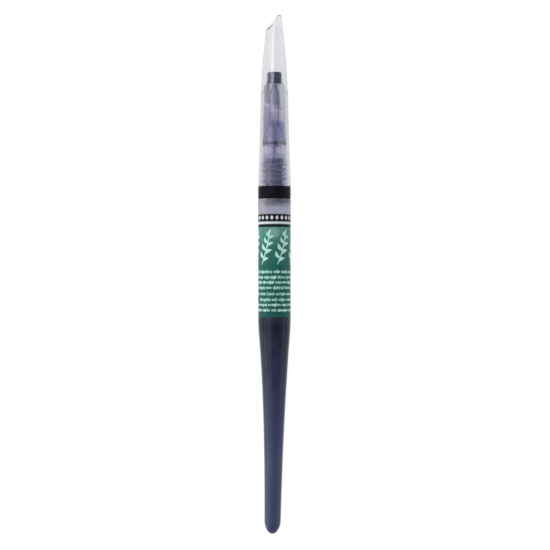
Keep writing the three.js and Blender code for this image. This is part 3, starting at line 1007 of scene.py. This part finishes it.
def build_tuft():
    """A solid core and a skin of separate tapering filaments that gather to a point."""
    steps = 36
    first = TUFT_REAR + 0.3
    core = [(0, TUFT_REAR), (TUFT_ROOT_R - 0.12, TUFT_REAR)]
    for i in range(1, steps):
        station = TUFT_REAR + 0.2 + (TUFT_POINT - 1.2 - TUFT_REAR) * i / steps
        core.append((max(0.02, tuft_radius(station) - 0.13), station))
    core.append((0, TUFT_POINT - 0.9))
    verts, faces = swept(core, False, None, 48)
    pick = random.Random(11)
    filaments = 210
    for k in range(filaments):
        angle = 2 * math.pi * k / filaments + pick.uniform(-0.01, 0.01)
        depth = pick.choice((0.03, 0.06, 0.1))
        end = TUFT_POINT - abs(pick.gauss(0, 0.9)) - (0.0 if k % 5 == 0 else 0.25)
        sway = pick.uniform(-0.05, 0.05)
        base = len(verts)
        count = 14
        for i in range(count + 1):
            t = i / count
            station = first + (end - TUFT_REAR - 0.3) * t
            r = max(0.015, tuft_radius(station) - depth * (1 - t ** 3))
            turn = angle + sway * math.sin(math.pi * t)
            thick = 0.045 * (1 - 0.75 * t ** 2)
            for side in range(3):
                phase = 2 * math.pi * side / 3
                verts.append(place(
                    max(0.003, r + thick * math.cos(phase)),
                    station,
                    turn + thick * math.sin(phase) / max(r, 0.12),
                ))
        for i in range(count):
            for side in range(3):
                nxt = (side + 1) % 3
                a = base + 3 * i
                faces.append((a + side, a + 3 + side, a + 3 + nxt, a + nxt))
        faces.append((base, base + 1, base + 2))
        top = base + 3 * count
        faces.append((top + 2, top + 1, top))
    finish_piece("bristles", verts, faces, "head",
                 bristle_material(), ("bristle_tuft",), 60)


def build_feed():
    flange_rear = FEED_REAR + SPIKE_LENGTH
    flange_front = flange_rear + FEED_FLANGE
    flange_r = width_r("feed")
    material = smoky_plastic(
        "feed_smoky", CLEAN,
        [(flange_rear + 0.1, 0.03), (flange_rear + 1.1, 0.3), (SECTION_FRONT, 0.3),
         (SECTION_FRONT + 0.5, 0.08)],
        1.0, (0.04, 0.04, 0.025), 1.15)
    turned("feed_spike", [
        (SPIKE_R - 0.25, FEED_REAR, 0.08),
        (SPIKE_R, FEED_REAR + 1.2, 0.2),
        (SPIKE_R, flange_rear, 0.05),
        (flange_r, flange_rear, 0.08),
        (flange_r, flange_front, 0.08),
        (FEED_TUBE_R, flange_front, 0.1),
        (FEED_TUBE_R, FEED_FRONT, 0.08),
        (FEED_BORE_R, FEED_FRONT, 0.05),
        (FEED_BORE_R, FEED_REAR, 0.05),
    ], "head", material, ("feed",), sides=64)


def build_wick():
    r = width_r("wick")
    turned("wick_core", [
        (0, WICK_REAR), (r, WICK_REAR, 0.1), (r, WICK_FRONT, 0.1), (0, WICK_FRONT),
    ], "head", fibre_wick(), ("wick",), sides=48)


# ---- Cap -------------------------------------------------


def build_cap():
    """The clear cap: rings up the outside, over the cut's rounded lip and down the inside."""
    outside = cap_outside()
    nose_bore = [(r - CAP_NOSE_WALL, s) for r, s in outside if s > SLEEVE_TOP + RUNNING]
    mouth = [(r - CAP_WALL, s) for r, s in outside if s < INNER_FLANGE_FRONT]
    ledge = INNER_FLANGE_FRONT + FACE_GAP
    # the last stretch, where the slanted cut runs, is laid out as shares of what is left
    bend = CAP_END - 7.5
    keep_out = [(r, s) for r, s in outside if s < bend]
    keep_in = [(r, s) for r, s in nose_bore if s < bend]
    steps = 22
    shares = [i / steps for i in range(steps + 1)]
    side_r = radius_at(outside, CAP_END - CUT_DROP)

    def cut_height(x):
        """Station of the slanted cut above a point x across, with its top corner rounded off."""
        slope = CAP_END - CUT_DROP + math.tan(CUT_ANGLE) * (x + side_r)
        top = CAP_END - 0.02
        soft = 0.55
        if slope < top - soft:
            return slope
        t = (slope - top + soft) / (2 * soft)
        smooth = top if t > 1 else slope - soft * t * t
        return smooth - max(0, (x - 1.7)) ** 2 * 0.5

    def trimmed(wall, share, angle, lip):
        """Where a share of the way from the bend to the cut lies on the wall's own surface."""
        end = CAP_END - 2
        settle = 12
        for _ in range(settle):
            r = radius_at(outside, min(end, CAP_END)) - wall
            end = cut_height(r * math.sin(angle)) - lip
        station = bend + (end - bend) * share
        return radius_at(outside, station) - wall, station

    angles = [2 * math.pi * k / SIDES for k in range(SIDES)]
    lip_r = 0.25
    lip = [(lip_r * out, lip_r * down) for out, down in ((0.134, 0.5), (0.5, 0.134), (1, 0))]
    inner_lip = [(CAP_NOSE_WALL - wall, drop) for wall, drop in reversed(lip)]
    rim_bore_r = mouth[0][0]
    below_cut = [
        *reversed(keep_in),
        (SLEEVE_TOP_R + RUNNING, SLEEVE_TOP + RUNNING),
        (SLEEVE_R + RUNNING, ledge),
        (CAP_SEAT_R - CAP_WALL, ledge),
        *reversed(mouth[1:]),
        (rim_bore_r + 0.02, CAP_RIM + 0.1),
        (rim_bore_r + 0.12, CAP_RIM),
        (BARREL_R - 0.12, CAP_RIM),
        (BARREL_R - 0.03, CAP_RIM + 0.06),
    ]
    rings = [[(BARREL_R - 0.005, CAP_RIM + 0.16)] * SIDES]
    rings += [[point] * SIDES for point in keep_out[1:]]
    rings += [[trimmed(0, share, a, lip_r) for a in angles] for share in shares]
    rings += [[trimmed(wall, 1, a, drop) for a in angles] for wall, drop in lip + inner_lip]
    rings += [[trimmed(CAP_NOSE_WALL, share, a, lip_r) for a in angles]
              for share in reversed(shares)]
    rings += [[point] * SIDES for point in below_cut]

    verts, faces = [], []
    for ring in rings:
        for angle, (r, s) in zip(angles, ring):
            verts.append(place(r, s, angle))
    for i in range(len(rings)):
        j = (i + 1) % len(rings)
        for k in range(SIDES):
            n = (k + 1) % SIDES
            faces.append((i * SIDES + k, j * SIDES + k, j * SIDES + n, i * SIDES + n))
    finish_piece("cap_clear_shell", verts, faces, "cap",
                 clear_plastic(), ("cap_shell",))


def build_inner_cap():
    """The sleeve that seals the brush: a flange at its mouth, a ledge and a narrow crown."""
    ledge = SLEEVE_TOP + 0.9
    ledge_r = CROWN_R + 0.5
    roof = INNER_TOP - INNER_ROOF
    turned("inner_cap_sleeve", [
        (INNER_FLANGE_R, INNER_MOUTH, 0.1),
        (INNER_FLANGE_R, INNER_FLANGE_FRONT, 0.1),
        (SLEEVE_R, INNER_FLANGE_FRONT, 0.1),
        (SLEEVE_TOP_R, SLEEVE_TOP, 0.35),
        (ledge_r, ledge, 0.2),
        (CROWN_R, CROWN_BASE, 0.2),
        (CROWN_R, INNER_TOP, 0.35),
        (0, INNER_TOP),
        (0, roof),
        (CROWN_R - INNER_WALL, roof, 0.2),
        (CROWN_R - INNER_WALL, CROWN_BASE - 0.3, 0.2),
        (ledge_r - INNER_WALL, ledge - 0.3, 0.2),
        (SLEEVE_TOP_R - INNER_WALL, SLEEVE_TOP - INNER_WALL, 0.2),
        (NOZZLE_BASE_R + 0.1, INNER_MOUTH, 0.1),
    ], "cap", inner_cap_material(), ("inner_cap",))


def inner_cap_material():
    """Smoky moulding with ink dried inside: dark in the crown, streaks and a film below it."""
    paint = Paint("inner_cap_smoky")
    # the dried film stands higher on one side of the sleeve than on the other
    rim = paint.curve(paint.side, [(-4, 144.6), (-0.95, 144.3), (-0.7, 139.6), (4, 138.7)])
    below_rim = paint.times(paint.math("SUBTRACT", rim, paint.station), 4)
    sleeve = paint.math("MINIMUM", paint.math("MAXIMUM", below_rim, 0), 1)
    # ink gathers at the sleeve's mouth and in the crown
    gathered = paint.curve(paint.station, [
        (INNER_MOUTH - 0.1, 0.9), (INNER_MOUTH + 0.1, 0),
        (CROWN_BASE - 1.2, 0), (CROWN_BASE - 0.6, 1.0),
    ])
    streaks = paint.curve(paint.noise(0.8, 3, (1.3, 0.1, 1.3)), [(0.38, 0.6), (0.62, 1)])
    runs = paint.curve(paint.noise(1.3, 2, (3, 0.04, 3)), [(0.43, 0.3), (0.57, 1)])
    film = paint.times(sleeve, streaks, runs)
    # a few dried drops stand above the film, on the side where it stands lower
    spots = paint.curve(paint.noise(1.1, 2, (1, 0.8, 1)), [(0.5, 0), (0.56, 1)])
    band = paint.curve(paint.station, [
        (NOZZLE_MOUTH + 0.2, 0), (NOZZLE_MOUTH + 0.5, 1), (NOZZLE_MOUTH + 2.2, 1),
        (NOZZLE_MOUTH + 2.6, 0),
    ])
    right = paint.curve(paint.side, [(-0.4, 0), (0.2, 1), (2.4, 1), (2.8, 0)])
    drops = paint.times(spots, band, right)
    tone = paint.mix(film, srgb(252, 252, 254), srgb(176, 183, 214))
    # below the crown it has run down in two broad streaks
    veil = paint.curve(paint.station, [
        (CROWN_BASE - 7.9, 0), (CROWN_BASE - 7.6, 0.45), (CROWN_BASE - 3.2, 0.5),
        (CROWN_BASE - 0.5, 0.6),
    ])
    lines = paint.curve(paint.side, [
        (-3.2, 0), (-2.9, 1), (-1.6, 1), (-1.3, 0), (-1.0, 0), (-0.7, 0.3), (1.6, 0.3), (2.4, 0.1),
    ])
    gathered = paint.math("MAXIMUM", gathered, paint.times(veil, lines))
    dried = paint.math("MAXIMUM", gathered, paint.times(drops, 0.6))
    paint.colour(paint.mix(dried, tone, srgb(84, 91, 128)))
    paint.transmit(paint.curve(paint.station, [
        (CROWN_BASE - 0.9, 0.98), (CROWN_BASE - 0.2, 0.3),
    ]))
    paint.set(IOR=1.3).absorb(0.03, 0.03, 0.015)
    paint.roughness(1.5, 0.12, 0.28)
    return paint.bump(paint.noise(2.2, 4), 0.08, 0.05).material


# ---- Surface, light and camera ---------------------------


FLOOR_HALF_M = 20
FLOOR_GLOW = 0.92
WORLD_LIGHT = 0.42
CAMERA_ABOVE_M = 0.371  # over the pen's axis
CAMERA_LENS = 71.9
LIGHT_BOUNCES = 40  # enough for a ray to cross every wall of cap, head and neck


def build_stage():
    """A white surface that glows, so that hardly a shadow shows."""
    half = FLOOR_HALF_M
    mesh = mesh_from("surface", [
        (-half, -half, 0), (half, -half, 0), (half, half, 0), (-half, half, 0),
    ], [(3, 2, 1, 0)])
    floor = bpy.data.objects.new("surface", mesh)
    bpy.context.scene.collection.objects.link(floor)
    paint = Paint("surface_white")
    grain = paint.noise(0.02, 2)
    paint.colour(paint.ramp(grain, [(0.3, (0.14, 0.14, 0.14)), (0.7, (0.17, 0.17, 0.17))]))
    paint.set(Roughness=0.6, Emission_Color=(1, 1, 1, 1), Emission_Strength=FLOOR_GLOW)
    mesh.materials.append(paint.material)


def area_light(name, place_m, look_at, size_m, power, colour=(1, 1, 1)):
    """A soft box, in metres and watts, that faces a point and doesn't show itself."""
    data = bpy.data.lights.new(name, "AREA")
    data.shape = "RECTANGLE"
    data.size, data.size_y = size_m
    data.energy = power
    data.color = colour
    lamp = bpy.data.objects.new(name, data)
    bpy.context.scene.collection.objects.link(lamp)
    lamp.location = place_m
    way = Vector(look_at) - Vector(place_m)
    lamp.rotation_euler = way.to_track_quat("-Z", "Y").to_euler()
    lamp.visible_camera = False


def build_light():
    """A pale world, a long box on the left and smaller ones for the highlights."""
    scene = bpy.context.scene
    world = bpy.data.worlds.new("studio")
    scene.world = world
    world.use_nodes = True
    background = world.node_tree.nodes["Background"]
    background.inputs["Color"].default_value = (1, 1, 1, 1)
    background.inputs["Strength"].default_value = WORLD_LIGHT
    area_light("strip", (-0.15, 0.2125, 0.42), (-0.15, 0.2125, 0), (0.26, 0.145), 0.47)
    area_light("left_box", (-0.5, 0, 0.6), (0, 0, 0.6), (0.9, 1.0), 3.5, (0.97, 0.93, 1.0))
    area_light("tail_box", (-0.5, -0.26, 0.1), (0, -0.26, 0.1), (0.3, 0.12), 0.6)
    area_light("right_box", (0.5, 0, 0.17), (0, 0, 0.17), (0.9, 0.25), 0.75)


def build_camera():
    """Straight above the pen, far enough for the whole length."""
    scene = bpy.context.scene
    data = bpy.data.cameras.new("photo_view")
    data.sensor_width = 36
    data.lens = CAMERA_LENS
    camera = bpy.data.objects.new("photo_view", data)
    scene.collection.objects.link(camera)
    camera.location = (0.0002, -0.00012, AXIS_Z + CAMERA_ABOVE_M)
    scene.camera = camera


def set_view():
    scene = bpy.context.scene
    scene.view_settings.view_transform = "Standard"
    scene.cycles.max_bounces = LIGHT_BOUNCES
    scene.cycles.transmission_bounces = LIGHT_BOUNCES
    scene.cycles.transparent_max_bounces = LIGHT_BOUNCES
    scene.cycles.glossy_bounces = 6
    scene.cycles.diffuse_bounces = 4


for build in (
    build_barrel, build_plug, build_ink, build_label, build_collar, build_section, build_nozzle,
    build_ferrule, build_tuft, build_feed, build_wick, build_cap, build_inner_cap, build_stage,
    build_light, build_camera, set_view,
):
    build()
